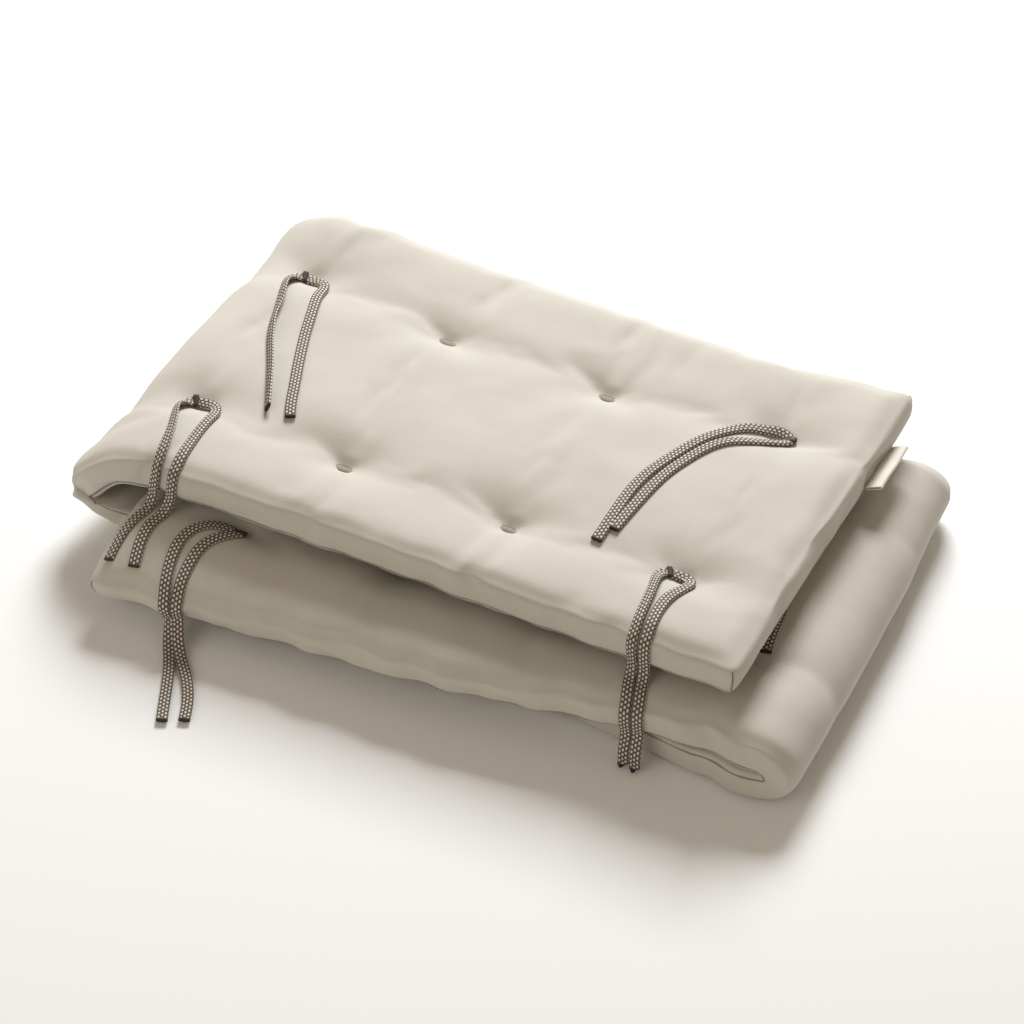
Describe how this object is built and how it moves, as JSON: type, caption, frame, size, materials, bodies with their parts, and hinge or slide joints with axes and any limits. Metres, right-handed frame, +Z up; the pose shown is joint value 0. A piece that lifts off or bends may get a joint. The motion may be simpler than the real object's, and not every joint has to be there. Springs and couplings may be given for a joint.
{
  "type": "crib bumper",
  "caption": "Padded cotton cot bumper, tufted and edged with one seam, lying folded in layers with its flat woven tie cords loose on it.",
  "frame": {"origin": "on the surface that it lies on, under the middle of the folded strip", "axes": "+X along the folded strip, towards the end with the side label; +Y towards the back edge of the top layer; +Z up"},
  "size_m": [0.5424, 0.4465, 0.094],
  "materials": {
    "cotton": "undyed plain-weave cotton, matt",
    "cord": "flat woven cord, dark brown with pale dots",
    "label": "woven cream tape, bare"
  },
  "bodies": {
    "root": {"pad": "cotton", "label": "label", "tie_end_back_upper": "cord", "tie_end_back_lower": "cord", "tie_end_front_left": "cord", "tie_end_front_right": "cord", "tie_fold_back_left": "cord", "tie_fold_back_right": "cord", "tie_fold_front_left": "cord", "tie_fold_front_right": "cord", "tie_low_left": "cord", "tie_low_right": "cord", "tie_under_loop": "cord", "tie_under_straight": "cord"}
  },
  "joints": []
}
